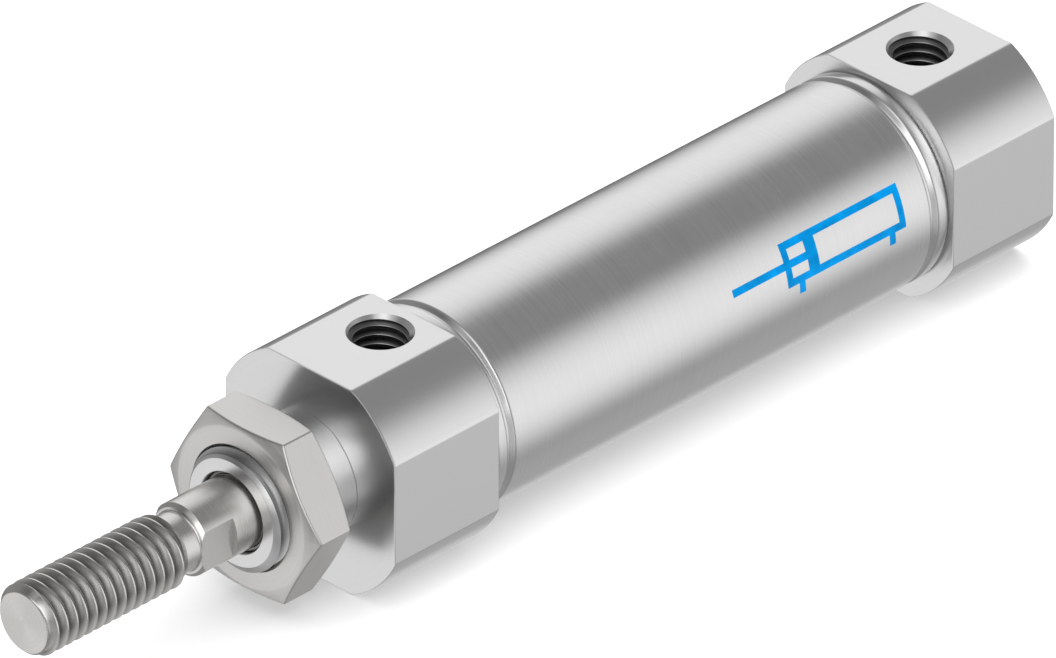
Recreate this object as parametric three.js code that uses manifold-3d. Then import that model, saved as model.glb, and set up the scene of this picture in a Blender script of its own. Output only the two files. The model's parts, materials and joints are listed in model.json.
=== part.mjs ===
// A double-acting round pneumatic cylinder: 16 mm bore, 25 mm stroke, M6 rod, M5 ports; its rod is drawn in.
// Millimetres. In the group's frame +X is the way the rod extends, +Z is up through the ports, and the origin
// is under the middle of the whole length, on the plane of the caps' bottom flats.
import * as THREE from "three";
import { mergeVertices } from "three/addons/utils/BufferGeometryUtils.js";
import Module from "manifold-3d";

const wasm = await Module();
wasm.setup();

// ---- Driving dimensions. Stations run along the axis from the mounting shoulder (0) towards the rod (+).
const STROKE = 25;
const BORE_R = 8; // inside of the barrel
const BARREL_R = 8.65; // outside of the barrel
const CAP_FLATS = 18; // across the flats of both caps
const CAP_R = 10; // turned corners of both caps
const CAP_LENGTH = 11.1;
const BARREL_LENGTH = 49.05; // between the caps' faces
const SPIGOT = 5.75; // how far each cap goes into the barrel
const ROD_R = 3;
const ROD_TIP = 30; // outer end of the rod
const COLLAR_LENGTH = 8.3;
const COLLAR_R = 5; // M10 x 1
const ROD_THREAD_LENGTH = 14.75; // M6 x 1
const ROD_NECK_LENGTH = 1.45; // undercut behind the rod's thread
const ROD_NECK_R = 2.4;
const THREAD_PITCH = 1; // of the collar and the rod
const THREAD_DEPTH = 0.61;
const WRENCH_FLATS = 5; // across the rod's two flats
const WRENCH_FROM = 10.6;
const WRENCH_TO = 13.4;
const PORT_R = 2.1; // minor radius of the M5 ports
const PORT_THREAD_R = 2.5;
const PORT_PITCH = 0.8;
const PORT_MOUTH_R = 2.6; // countersink
const PORT_DEPTH = 4.2;
const FRONT_PORT = -7.5;
const PASSAGE_R = 0.75; // air way from each port to its chamber
const PASSAGE_HEIGHT = 6.1; // above the axis
const NUT_FLATS = 14;
const NUT_FROM = 3.25;
const NUT_TO = 7.3;
const NUT_CHAMFER = 0.45; // how far back the nut's corners are cut
const SEAT_R = 3.8; // bore of the front cap, for the bush and the rod's seals
const MOUTH_R = 3.35; // hole in the collar's end
const MOUTH_LIP = 0.75; // thickness of the collar's end round that hole
const BUMPER = 1.5; // thickness of each stop
const BUMPER_R = 5.3;
const NUT_RECESS_R = 4.3; // in the rear cap, round the piston's nut
const NUT_RECESS_DEPTH = 5;
const CHAMBER_GAP = 0.15; // between piston and stop at each end of the stroke
const FIT = 0.05; // between pieces that fit in or against each other
const OVERRUN = 1; // how far a cutting or joining shape runs past the face it meets
const BUSH_SETBACK = 2.5; // from the front cap's inner end to the bush
const SEAL_BACK = 2.6; // where the bush ends and the rod's seals begin
const WIPER_BACK = 5.1;
const WIPER_LIP = 0.3; // how far the wiper shows past the step that holds it

// Rolled-in groove that holds each cap in the barrel, as distances from the cap's face.
const CRIMP = { from: 1.25, floorFrom: 1.5, floorTo: 1.85, to: 2.1, outerR: 8.25, innerR: 7.6 };
// Groove for the O-ring that seals each cap, as distances from the same face.
const CAP_SEAL = { from: 3.2, to: 4.4, floorR: 7.1 };
// Piston, as distances from its middle.
const PISTON = { landR: 7.8, hubR: 4.55, magnetTo: 1.05, guideTo: 1.35, guideFloorR: 6.95 };
const PISTON_SEAL = { from: 2.3, to: 3.95, floorR: 5.85 };
const PISTON_ROD_R = 2; // stepped end of the rod, through the piston
const PISTON_NUT = { acrossFlats: 7, thickness: 2.4, rodPast: 0.95 };
// Groove in the piston's front for the O-ring round the stepped end.
const ROD_GROOVE = { depth: 0.75, outerR: 2.75 };

// ---- Stations worked out from them
const BARREL_FRONT = -CAP_LENGTH;
const BARREL_REAR = BARREL_FRONT - BARREL_LENGTH;
const REAR_FACE = BARREL_REAR - CAP_LENGTH;
const CHAMBER_FRONT = BARREL_FRONT - SPIGOT;
const CHAMBER_REAR = BARREL_REAR + SPIGOT;
const REAR_PORT = BARREL_REAR - CAP_LENGTH / 2;
const PISTON_REAR = CHAMBER_REAR + FIT + BUMPER + CHAMBER_GAP;
const PISTON_FRONT = CHAMBER_FRONT - FIT - BUMPER - CHAMBER_GAP - STROKE;
const PISTON_MIDDLE = (PISTON_REAR + PISTON_FRONT) / 2;
const PISTON_HALF = (PISTON_FRONT - PISTON_REAR) / 2;
const ROD_THREAD_FROM = ROD_TIP - ROD_THREAD_LENGTH;
const ROD_SHOULDER = ROD_THREAD_FROM - ROD_NECK_LENGTH;

const SIDES = 32; // facets round the axis on the metal pieces, which keeps their fits even
const SOFT_SIDES = 24; // on seals, stops and the guide ring
const THREAD_SIDES = 16;
const COLLAR_SIDES = 20;
const PORT_SIDES = 14;
const CORNER_SEGMENTS = 6; // in each turned corner of a cap

// ---- Shapes

/** A closed geometry as a solid that can be cut and joined. */
function solidOf(geometry) {
  const bare = geometry.index ? geometry.toNonIndexed() : geometry.clone();
  bare.deleteAttribute("normal");
  bare.deleteAttribute("uv");
  const merged = mergeVertices(bare, 1e-4);
  const corners = merged.index.array;
  const kept = [];
  for (let i = 0; i < corners.length; i += 3) {
    const [a, b, c] = corners.slice(i, i + 3);
    if (a !== b && b !== c && c !== a) kept.push(a, b, c);
  }
  return new wasm.Manifold(
    new wasm.Mesh({
      numProp: 3,
      vertProperties: new Float32Array(merged.attributes.position.array),
      triVerts: new Uint32Array(kept),
    }),
  );
}

/** The same outline, clockwise and starting on the axis if it touches it, as LatheGeometry wants it. */
function latheOrder(outline) {
  const doubledArea = outline.reduce((sum, [x, r], i) => {
    const [nextX, nextR] = outline[(i + 1) % outline.length];
    return sum + x * nextR - nextX * r;
  }, 0);
  const ordered = doubledArea > 0 ? outline.slice().reverse() : outline.slice();
  const onAxis = ordered.findIndex(([, r], i) => r === 0 && ordered.at(i - 1)[1] === 0);
  if (onAxis < 0) return [...ordered, ordered[0]];
  return [...ordered.slice(onAxis), ...ordered.slice(0, onAxis)];
}

/** A solid turned about the X axis: outline is [station, radius] pairs round its half section. */
function turned(outline, sides = SIDES) {
  const points = latheOrder(outline).map(([x, r]) => new THREE.Vector2(r, x));
  return solidOf(new THREE.LatheGeometry(points, sides).rotateZ(-Math.PI / 2));
}

/** A plain ring between two stations and two radii. */
function ring(from, to, inner, outer, sides = SIDES) {
  return turned([[from, inner], [to, inner], [to, outer], [from, outer]], sides);
}

/** A plain bar between two stations. */
function bar(from, to, r, sides = SIDES) {
  return turned([[from, 0], [to, 0], [to, r], [from, r]], sides);
}

/** A ring whose two outer edges are chamfered. */
function chamferedRing(from, to, inner, outer, chamfer) {
  const outline = [
    [from, inner],
    [to, inner],
    [to, outer - chamfer],
    [to - chamfer, outer],
    [from + chamfer, outer],
    [from, outer - chamfer],
  ];
  return turned(outline, SOFT_SIDES);
}

/** An O-ring: a round cord bent about the axis. */
function oRing(station, middleR, cordR) {
  const cordSides = 6;
  const outline = Array.from({ length: cordSides }, (_, i) => {
    const angle = (i * 2 * Math.PI) / cordSides;
    return [station + cordR * Math.cos(angle), middleR + cordR * Math.sin(angle)];
  });
  return turned(outline, SOFT_SIDES);
}

/** A U-section lip seal whose two lips open from its back towards its mouth. */
function lipSeal(back, mouth, inner, outer) {
  const notchShare = 0.55; // of the length, where the two lips part
  const lipShare = 0.16; // of the section, how thick each lip's edge is
  const middle = (inner + outer) / 2;
  const notch = back + (mouth - back) * notchShare;
  const lip = (outer - inner) * lipShare;
  const outline = [
    [back, inner + lip],
    [mouth, inner],
    [mouth, inner + lip],
    [notch, middle],
    [mouth, outer - lip],
    [mouth, outer],
    [back, outer - lip],
  ];
  return turned(outline, SOFT_SIDES);
}

/**
 * A right-hand threaded bar, at least a turn too long at both ends. It is a lathe sheared along its axis by
 * one pitch a turn, so that it meets itself one turn on, and the step left at each end is closed by a fan.
 */
function threadBar(from, to, crestR, depth, pitch, sides) {
  const [crestFrom, crestTo] = [0.42, 0.58]; // shares of a pitch
  const tooth = [[0, crestR - depth], [crestFrom, crestR], [crestTo, crestR]]; // share of a pitch, radius
  const spareTurns = 1.5; // at each end
  const turns = Math.ceil((to - from) / pitch) + 2 * spareTurns;
  const start = from - spareTurns * pitch;
  const points = [new THREE.Vector2(0, start)];
  for (let turn = 0; turn < turns; turn++) {
    for (const [share, r] of tooth) points.push(new THREE.Vector2(r, start + pitch * (turn + share)));
  }
  points.push(new THREE.Vector2(0, start + pitch * (turns + 1)));
  const lathe = new THREE.LatheGeometry(points, sides);
  const position = lathe.attributes.position;
  const rows = points.length;
  for (let column = 0; column <= sides; column++) {
    for (let row = 1; row < rows - 1; row++) {
      const vertex = column * rows + row;
      position.setY(vertex, position.getY(vertex) + (pitch * column) / sides);
    }
  }
  const faces = Array.from(lathe.index.array);
  const lastColumn = sides * rows;
  for (let row = 1; row <= tooth.length; row++) {
    faces.push(0, row, row + 1);
    faces.push(rows - 1, lastColumn + rows - 1 - row, lastColumn + rows - 2 - row);
  }
  lathe.setIndex(faces);
  return solidOf(lathe.rotateZ(-Math.PI / 2));
}

/** A prism along X whose section is a centred shape in the Y-Z plane. */
function prism(from, to, shape, curveSegments) {
  const geometry = new THREE.ExtrudeGeometry(shape, { depth: to - from, bevelEnabled: false, curveSegments });
  return solidOf(geometry.rotateY(Math.PI / 2).translate(from, 0, 0));
}

/** The caps' section: a square whose corners are turned to a circle. */
function capShape() {
  const half = Math.acos(CAP_FLATS / 2 / CAP_R);
  const shape = new THREE.Shape();
  for (let corner = 0; corner < 4; corner++) {
    const middle = (corner * Math.PI) / 2;
    shape.absarc(0, 0, CAP_R, middle + half, middle + Math.PI / 2 - half, false);
  }
  shape.closePath();
  return shape;
}

/** A regular hexagon with a corner on the Y axis. */
function hexagonShape(acrossFlats) {
  const corners = Array.from({ length: 6 }, (_, i) => {
    const angle = Math.PI / 2 + (i * Math.PI) / 3;
    const r = acrossFlats / Math.sqrt(3);
    return new THREE.Vector2(r * Math.cos(angle), r * Math.sin(angle));
  });
  return new THREE.Shape(corners);
}

/** A solid drawn about the X axis from station 0, stood on end at a station, with its origin at a height. */
function upright(solid, station, height) {
  return solid.rotate([0, -90, 0]).translate([station, 0, height]);
}

/** What is cut out of a cap for one port: countersink, M5 thread and the air way to the chamber. */
function portCut(station, chamberFace) {
  const top = CAP_FLATS / 2;
  const sink = PORT_MOUTH_R - PORT_R;
  const passageSides = 8;
  const hole = bar(-PORT_DEPTH, OVERRUN, PORT_R, PORT_SIDES);
  const mouth = turned([
    [-sink, 0],
    [OVERRUN, 0],
    [OVERRUN, PORT_MOUTH_R + OVERRUN],
    [-sink, PORT_R],
  ], PORT_SIDES);
  const threadEnd = -PORT_DEPTH + PORT_PITCH;
  const threadDepth = PORT_THREAD_R - PORT_R + FIT;
  const tap = threadBar(threadEnd, 0, PORT_THREAD_R, threadDepth, PORT_PITCH, PORT_SIDES)
    .intersect(bar(threadEnd, OVERRUN, PORT_THREAD_R + OVERRUN, PORT_SIDES));
  const beyond = chamberFace + OVERRUN * Math.sign(chamberFace - station);
  const [low, high] = [Math.min(station, beyond), Math.max(station, beyond)];
  const passage = bar(low, high, PASSAGE_R, passageSides).translate([0, 0, PASSAGE_HEIGHT]);
  return upright(hole.add(mouth).add(tap), station, top).add(passage);
}

/** A cap's spigot: from its face, direction is +1 or -1 towards the chamber, with both grooves. */
function spigot(face, direction, innerR) {
  const r = BORE_R - FIT;
  const crimpR = CRIMP.innerR - 3 * FIT;
  const chamfer = 0.3;
  const outline = [
    [-OVERRUN, innerR],
    [-OVERRUN, r],
    [CRIMP.from - 2 * FIT, r],
    [CRIMP.floorFrom - FIT, crimpR],
    [CRIMP.floorTo + FIT, crimpR],
    [CRIMP.to + 2 * FIT, r],
    [CAP_SEAL.from, r],
    [CAP_SEAL.from, CAP_SEAL.floorR],
    [CAP_SEAL.to, CAP_SEAL.floorR],
    [CAP_SEAL.to, r],
    [SPIGOT - chamfer, r],
    [SPIGOT, r - chamfer],
    [SPIGOT, innerR],
  ];
  return turned(outline.map(([distance, radius]) => [face + direction * distance, radius]));
}

// ---- Pieces of the body

function frontBearingCap() {
  const chamfer = 0.5;
  const threadFrom = NUT_FROM - 0.4; // the thread begins a little inside the plain neck
  const clear = COLLAR_R + 2 * FIT;
  const threadEnvelope = [
    [threadFrom, 0],
    [COLLAR_LENGTH, 0],
    [COLLAR_LENGTH, COLLAR_R - THREAD_DEPTH + FIT],
    [COLLAR_LENGTH - chamfer, clear],
    [threadFrom, clear],
  ];
  const thread = threadBar(NUT_FROM, COLLAR_LENGTH, COLLAR_R, THREAD_DEPTH, THREAD_PITCH, COLLAR_SIDES)
    .intersect(turned(threadEnvelope, COLLAR_SIDES));
  const sealStop = COLLAR_LENGTH - MOUTH_LIP;
  return prism(BARREL_FRONT, 0, capShape(), CORNER_SEGMENTS)
    .add(bar(-OVERRUN, NUT_FROM, COLLAR_R))
    .add(thread)
    .add(spigot(BARREL_FRONT, -1, SEAT_R))
    .subtract(bar(CHAMBER_FRONT - OVERRUN, sealStop, SEAT_R))
    .subtract(bar(sealStop - OVERRUN, COLLAR_LENGTH + OVERRUN, MOUTH_R))
    .subtract(portCut(FRONT_PORT, CHAMBER_FRONT));
}

function rearEndCap() {
  return prism(REAR_FACE, BARREL_REAR, capShape(), CORNER_SEGMENTS)
    .add(spigot(BARREL_REAR, 1, 0))
    .subtract(bar(CHAMBER_REAR - NUT_RECESS_DEPTH, CHAMBER_REAR + OVERRUN, NUT_RECESS_R))
    .subtract(portCut(REAR_PORT, CHAMBER_REAR));
}

function cylinderBarrel() {
  const groove = (r, floorR) => [
    [CRIMP.from, r],
    [CRIMP.floorFrom, floorR],
    [CRIMP.floorTo, floorR],
    [CRIMP.to, r],
  ];
  const fromFront = (points) => points.map(([distance, r]) => [BARREL_FRONT - distance, r]);
  const fromRear = (points) => points.map(([distance, r]) => [BARREL_REAR + distance, r]);
  return turned([
    [BARREL_FRONT, BARREL_R],
    ...fromFront(groove(BARREL_R, CRIMP.outerR)),
    ...fromRear(groove(BARREL_R, CRIMP.outerR)).reverse(),
    [BARREL_REAR, BARREL_R],
    [BARREL_REAR, BORE_R],
    ...fromRear(groove(BORE_R, CRIMP.innerR)),
    ...fromFront(groove(BORE_R, CRIMP.innerR)).reverse(),
    [BARREL_FRONT, BORE_R],
  ]);
}

function barrelORing(face, direction) {
  const middle = face + (direction * (CAP_SEAL.from + CAP_SEAL.to)) / 2;
  const cordR = (BORE_R - CAP_SEAL.floorR - 2 * FIT) / 2;
  return oRing(middle, (BORE_R + CAP_SEAL.floorR) / 2, cordR);
}

function rodBearingBush() {
  return ring(CHAMBER_FRONT + BUSH_SETBACK, SEAL_BACK - FIT, ROD_R + FIT, SEAT_R - FIT);
}

function rodSeal() {
  return lipSeal(WIPER_BACK - FIT, SEAL_BACK, ROD_R + FIT, SEAT_R - FIT);
}

function rodWiper() {
  const stop = COLLAR_LENGTH - MOUTH_LIP - FIT;
  const outline = [
    [WIPER_BACK, ROD_R + 4 * FIT],
    [WIPER_BACK, SEAT_R - FIT],
    [stop, SEAT_R - FIT],
    [stop, MOUTH_R - FIT],
    [stop + WIPER_LIP, ROD_R + 4 * FIT],
    [stop + WIPER_LIP, ROD_R + FIT],
  ];
  return turned(outline, SOFT_SIDES);
}

function mountingNut() {
  const clear = NUT_FLATS / Math.sqrt(3) + 2 * FIT;
  const faceR = NUT_FLATS / 2 - 3 * FIT;
  const boreR = COLLAR_R + 2 * FIT;
  const boreChamfer = 0.15;
  const coneR = boreR + boreChamfer + OVERRUN;
  const rounded = turned([
    [NUT_FROM, 0],
    [NUT_TO, 0],
    [NUT_TO, faceR],
    [NUT_TO - NUT_CHAMFER, clear],
    [NUT_FROM + NUT_CHAMFER, clear],
    [NUT_FROM, faceR],
  ]);
  const bore = turned([
    [NUT_FROM - OVERRUN, 0],
    [NUT_TO + OVERRUN, 0],
    [NUT_TO + OVERRUN, coneR],
    [NUT_TO - boreChamfer, boreR],
    [NUT_FROM + boreChamfer, boreR],
    [NUT_FROM - OVERRUN, coneR],
  ]);
  return prism(NUT_FROM, NUT_TO, hexagonShape(NUT_FLATS), 1).intersect(rounded).subtract(bore);
}

function bumper(face, direction, innerR) {
  const chamfer = 0.2;
  const near = face + direction * FIT;
  const far = near + direction * BUMPER;
  return chamferedRing(Math.min(near, far), Math.max(near, far), innerR, BUMPER_R, chamfer);
}

// ---- Pieces that slide

function pistonRod() {
  const threadChamfer = 0.5;
  const endChamfer = 0.4;
  const shoulderChamfer = 0.4;
  const neckOverlap = 0.5; // how far the neck runs into the thread
  const rearEnd = PISTON_REAR - FIT - PISTON_NUT.thickness - PISTON_NUT.rodPast;
  const body = turned([
    [rearEnd, 0],
    [ROD_SHOULDER + OVERRUN, 0],
    [ROD_SHOULDER + OVERRUN, ROD_NECK_R],
    [ROD_SHOULDER, ROD_NECK_R],
    [ROD_SHOULDER, ROD_R - shoulderChamfer],
    [WRENCH_TO, ROD_R],
    [PISTON_FRONT + FIT, ROD_R],
    [PISTON_FRONT + FIT, PISTON_ROD_R],
    [rearEnd + endChamfer, PISTON_ROD_R],
    [rearEnd, PISTON_ROD_R - endChamfer],
  ]);
  const neck = bar(ROD_SHOULDER, ROD_THREAD_FROM + neckOverlap, ROD_NECK_R);
  const clear = ROD_R + FIT / 5;
  const threadEnvelope = [
    [ROD_THREAD_FROM, 0],
    [ROD_TIP, 0],
    [ROD_TIP, ROD_R - threadChamfer],
    [ROD_TIP - threadChamfer, clear],
    [ROD_THREAD_FROM + threadChamfer, clear],
    [ROD_THREAD_FROM, ROD_R - threadChamfer],
  ];
  const thread = threadBar(ROD_THREAD_FROM, ROD_TIP, ROD_R, THREAD_DEPTH, THREAD_PITCH, THREAD_SIDES)
    .intersect(turned(threadEnvelope, THREAD_SIDES));
  const length = WRENCH_TO - WRENCH_FROM;
  const block = new THREE.BoxGeometry(length, ROD_R, 3 * ROD_R);
  const side = (WRENCH_FLATS + ROD_R) / 2;
  const station = (WRENCH_FROM + WRENCH_TO) / 2;
  const flats = [-1, 1].map((sign) => solidOf(block.clone().translate(station, sign * side, 0)));
  return body.add(neck).add(thread).subtract(flats[0]).subtract(flats[1]);
}

/** Half of the piston: direction is +1 for the front half, -1 for the rear one. */
function pistonHalf(direction, hasRodSeal) {
  const boreR = PISTON_ROD_R + FIT;
  const edge = 0.2;
  const grooveFloor = PISTON_HALF - ROD_GROOVE.depth;
  const face = hasRodSeal
    ? [[PISTON_HALF, ROD_GROOVE.outerR], [grooveFloor, ROD_GROOVE.outerR], [grooveFloor, boreR]]
    : [[PISTON_HALF, boreR]];
  const outline = [
    [FIT / 2, boreR],
    [FIT / 2, PISTON.hubR],
    [PISTON.magnetTo, PISTON.hubR],
    [PISTON.magnetTo, PISTON.guideFloorR],
    [PISTON.guideTo, PISTON.guideFloorR],
    [PISTON.guideTo, PISTON.landR],
    [PISTON_SEAL.from, PISTON.landR],
    [PISTON_SEAL.from, PISTON_SEAL.floorR],
    [PISTON_SEAL.to, PISTON_SEAL.floorR],
    [PISTON_SEAL.to, PISTON.landR],
    [PISTON_HALF - edge, PISTON.landR],
    [PISTON_HALF, PISTON.landR - edge],
    ...face,
  ];
  return turned(outline.map(([distance, r]) => [PISTON_MIDDLE + direction * distance, r]));
}

function pistonMagnet() {
  const half = PISTON.magnetTo - FIT;
  return ring(PISTON_MIDDLE - half, PISTON_MIDDLE + half, PISTON.hubR + FIT, PISTON.guideFloorR - FIT);
}

function pistonGuideRing() {
  const half = PISTON.guideTo - FIT;
  const innerR = PISTON.guideFloorR + 2 * FIT;
  return ring(PISTON_MIDDLE - half, PISTON_MIDDLE + half, innerR, BORE_R - FIT, SOFT_SIDES);
}

function pistonSeal(direction) {
  const back = PISTON_MIDDLE + direction * (PISTON_SEAL.from + FIT);
  const mouth = PISTON_MIDDLE + direction * (PISTON_SEAL.to - FIT);
  return lipSeal(back, mouth, PISTON_SEAL.floorR + 2 * FIT, BORE_R - FIT);
}

function pistonORing() {
  const boreR = PISTON_ROD_R + FIT;
  const cordR = (ROD_GROOVE.outerR - boreR) / 2 - FIT;
  return oRing(PISTON_FRONT - ROD_GROOVE.depth / 2, (ROD_GROOVE.outerR + boreR) / 2, cordR);
}

function pistonNut() {
  const holeSides = 16;
  const to = PISTON_REAR - FIT;
  const from = to - PISTON_NUT.thickness;
  return prism(from, to, hexagonShape(PISTON_NUT.acrossFlats), 1)
    .subtract(bar(from - OVERRUN, to + OVERRUN, PISTON_ROD_R + FIT, holeSides));
}

// ---- The assembly

const FINISH = {
  stainless: { color: 0xb4b0aa, roughness: 0.32, metalness: 1 },
  aluminium: { color: 0xc9c8c6, roughness: 0.42, metalness: 1 },
  rodSteel: { color: 0x9c958b, roughness: 0.3, metalness: 1 },
  nutSteel: { color: 0xb3ada4, roughness: 0.35, metalness: 1 },
  bronze: { color: 0x9a6b3c, roughness: 0.55, metalness: 1 },
  seal: { color: 0x202224, roughness: 0.6, metalness: 0 },
  bumperRubber: { color: 0x2c2c2c, roughness: 0.7, metalness: 0 },
  guidePlastic: { color: 0xd8cfae, roughness: 0.5, metalness: 0 },
  magnet: { color: 0x3a3836, roughness: 0.6, metalness: 0 },
};

const pieces = {
  front_bearing_cap: [frontBearingCap(), FINISH.aluminium],
  rear_end_cap: [rearEndCap(), FINISH.aluminium],
  cylinder_barrel: [cylinderBarrel(), FINISH.stainless],
  front_barrel_o_ring: [barrelORing(BARREL_FRONT, -1), FINISH.seal],
  rear_barrel_o_ring: [barrelORing(BARREL_REAR, 1), FINISH.seal],
  rod_bearing_bush: [rodBearingBush(), FINISH.bronze],
  rod_seal: [rodSeal(), FINISH.seal],
  rod_wiper: [rodWiper(), FINISH.seal],
  front_bumper: [bumper(CHAMBER_FRONT, -1, ROD_R + 6 * FIT), FINISH.bumperRubber],
  rear_bumper: [bumper(CHAMBER_REAR, 1, NUT_RECESS_R), FINISH.bumperRubber],
  mounting_nut: [mountingNut(), FINISH.nutSteel],
  piston_rod: [pistonRod(), FINISH.rodSteel],
  piston_front_half: [pistonHalf(1, true), FINISH.aluminium],
  piston_rear_half: [pistonHalf(-1, false), FINISH.aluminium],
  piston_magnet: [pistonMagnet(), FINISH.magnet],
  piston_guide_ring: [pistonGuideRing(), FINISH.guidePlastic],
  front_piston_seal: [pistonSeal(1), FINISH.seal],
  rear_piston_seal: [pistonSeal(-1), FINISH.seal],
  piston_o_ring: [pistonORing(), FINISH.seal],
  piston_nut: [pistonNut(), FINISH.nutSteel],
};

/** A finished solid as a geometry. */
function geometryOf(solid) {
  const mesh = solid.getMesh();
  const geometry = new THREE.BufferGeometry();
  geometry.setAttribute("position", new THREE.BufferAttribute(mesh.vertProperties, 3));
  geometry.setIndex(new THREE.BufferAttribute(mesh.triVerts, 1));
  geometry.computeVertexNormals();
  return geometry;
}

const cylinder = new THREE.Group();
cylinder.position.set(-(ROD_TIP + REAR_FACE) / 2, 0, CAP_FLATS / 2);
for (const [name, [solid, finish]] of Object.entries(pieces)) {
  const mesh = new THREE.Mesh(geometryOf(solid), new THREE.MeshStandardMaterial(finish));
  mesh.name = name;
  cylinder.add(mesh);
}
cylinder.updateMatrixWorld(true);

const assembly = new THREE.Group();
assembly.add(cylinder);

export default assembly;
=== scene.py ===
"""Looks for the round pneumatic cylinder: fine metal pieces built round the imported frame, their materials,
a printed mark, studio light, a pale floor and the camera.

Pieces are drawn in the cylinder's own millimetres: x is the station along the axis from the mounting shoulder
(positive towards the rod's tip), and y and z are measured from the axis. place() brings them into the frame.
"""
import json
import math

import bmesh
import bpy
from mathutils import Matrix, Vector

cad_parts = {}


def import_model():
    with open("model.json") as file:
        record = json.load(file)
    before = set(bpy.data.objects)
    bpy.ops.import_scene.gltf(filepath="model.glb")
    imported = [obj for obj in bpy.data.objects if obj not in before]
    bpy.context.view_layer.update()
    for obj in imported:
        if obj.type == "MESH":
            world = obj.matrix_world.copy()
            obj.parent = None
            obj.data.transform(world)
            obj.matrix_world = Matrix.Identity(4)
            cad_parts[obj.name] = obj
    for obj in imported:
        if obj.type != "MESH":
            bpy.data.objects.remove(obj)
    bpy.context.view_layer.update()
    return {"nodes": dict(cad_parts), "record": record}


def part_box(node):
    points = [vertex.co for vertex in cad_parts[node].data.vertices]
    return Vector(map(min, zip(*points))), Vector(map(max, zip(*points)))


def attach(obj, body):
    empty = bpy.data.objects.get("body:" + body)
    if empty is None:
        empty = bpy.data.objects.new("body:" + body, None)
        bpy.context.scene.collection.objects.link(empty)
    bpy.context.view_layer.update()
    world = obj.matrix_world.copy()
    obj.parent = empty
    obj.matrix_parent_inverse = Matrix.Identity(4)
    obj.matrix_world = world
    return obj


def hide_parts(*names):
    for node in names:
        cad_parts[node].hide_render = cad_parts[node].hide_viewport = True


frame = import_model()

MM = 0.001
TURN = 2 * math.pi

# ---- What the frame says: these two in metres, the rest in millimetres along and from the axis
mounts = {mount["name"]: Vector(mount["pos_m"]) for mount in frame["record"]["mounts"]}
SHOULDER = mounts["mounting_shoulder"].x
AXIS_HEIGHT = sum(corner.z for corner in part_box("cylinder_barrel")) / 2


def stations(node):
    """(rear, front) station of a CAD node."""
    low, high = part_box(node)
    return (low.x - SHOULDER) / MM, (high.x - SHOULDER) / MM


def radius(node):
    """Largest radius of a CAD node that is round about the axis."""
    return (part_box(node)[1].z - AXIS_HEIGHT) / MM


BARREL_REAR, BARREL_FRONT = stations("cylinder_barrel")
BARREL_R = radius("cylinder_barrel")
REAR_FACE = stations("rear_end_cap")[0]
REAR_SPIGOT_END = stations("rear_end_cap")[1]
FRONT_SPIGOT_END, COLLAR_END = stations("front_bearing_cap")
CAP_FLAT = AXIS_HEIGHT / MM
NUT_REAR, NUT_FRONT = stations("mounting_nut")
NUT_FLAT = radius("mounting_nut")
ROD_END = stations("piston_rod")[0]
ROD_TIP = stations("piston_rod")[1]
ROD_R = radius("piston_rod")

# ---- Sizes of the fine shapes, in millimetres
CAP_R = 10.0  # of the caps' turned corners
EDGE = 0.13  # broken edges of the caps
BORE_R = 8.0
BARREL_EDGE = 0.45  # fillet of the barrel's ends
CRIMP_MIDDLE = 1.68  # of the barrel's rolled-in groove, from the cap's face
CRIMP_DEPTH = 0.38
CRIMP_LIP = (0.42, 0.28)  # half the groove's width at the barrel's skin, and the fillet there
CRIMP_FLOOR = (0.14, 0.12)  # the same two at the groove's floor
SPIGOT_GAP = 0.05  # between a cap's spigot and the bore
SPIGOT_CHAMFER = 0.3
CRIMP_GROOVE = ((1.0, 0), (1.25, 0.5), (1.95, 0.5), (2.2, 0))  # distance from the cap's face, depth
O_RING_GROOVE = ((3.2, 0), (3.2, 0.85), (4.4, 0.85), (4.4, 0))
AIR_WAY_R = 4.3  # through the rear cap's spigot
PORT_R = 2.1
PORT_THREAD_R = 2.5
PORT_PITCH = 0.8
PORT_MOUTH_R = 2.62
PORT_DEPTH = 4.2
FRONT_PORT = -7.5
REAR_PORT = (REAR_FACE + BARREL_REAR) / 2
COLLAR_R = 5.0
NECK_FILLET = 0.08  # where the collar meets the cap
MOUTH_R = 3.35
MOUTH_CHAMFER = 0.06
MOUTH_DEPTH = 2.0
SEAT_R = 3.8
SEAT_WALL = 0.75  # of the collar in front of the wiper's seat
THREAD_PITCH = 1.0
THREAD_DEPTH = 0.61
COLLAR_CHAMFER = (0.42, 0.57)  # of a thread's end: length along the axis, depth
TIP_CHAMFER = (0.55, 0.5)
RUNOUT_CHAMFER = (0.6, 0.55)
CHAMFER_ROUND = 0.05
CREST_SPACE = 0.02  # between a thread's crests and the envelope that trims its ends
ROD_NECK_R = 2.42
THREAD_START = ROD_TIP - 14.75
ROD_SHOULDER = THREAD_START - 1.45
WRENCH_FROM = 10.6
WRENCH_HALF = 2.5
ROD_OVERLAP = 0.2  # of the neck and the wrench flats, past the shoulder

PAST = 1.0  # how far a cutting or joining shape reaches past the face it works on
ON_AXIS = 1e-9
SAME_POINT = 1e-5
CREASE = 28  # degrees: an edge that turns more than this is shaded sharp


# ---- Mesh tools

def place(mesh):
    """Moves a mesh from the cylinder's millimetres into the frame."""
    to_frame = Matrix.Translation((SHOULDER, 0, AXIS_HEIGHT)) @ Matrix.Diagonal((MM, MM, MM, 1))
    mesh.transform(to_frame)


def make_object(name, vertices, faces):
    mesh = bpy.data.meshes.new(name)
    mesh.from_pydata([tuple(v) for v in vertices], [], faces)
    mesh.validate()
    obj = bpy.data.objects.new(name, mesh)
    bpy.context.scene.collection.objects.link(obj)
    fix_normals(mesh)
    return obj


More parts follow.
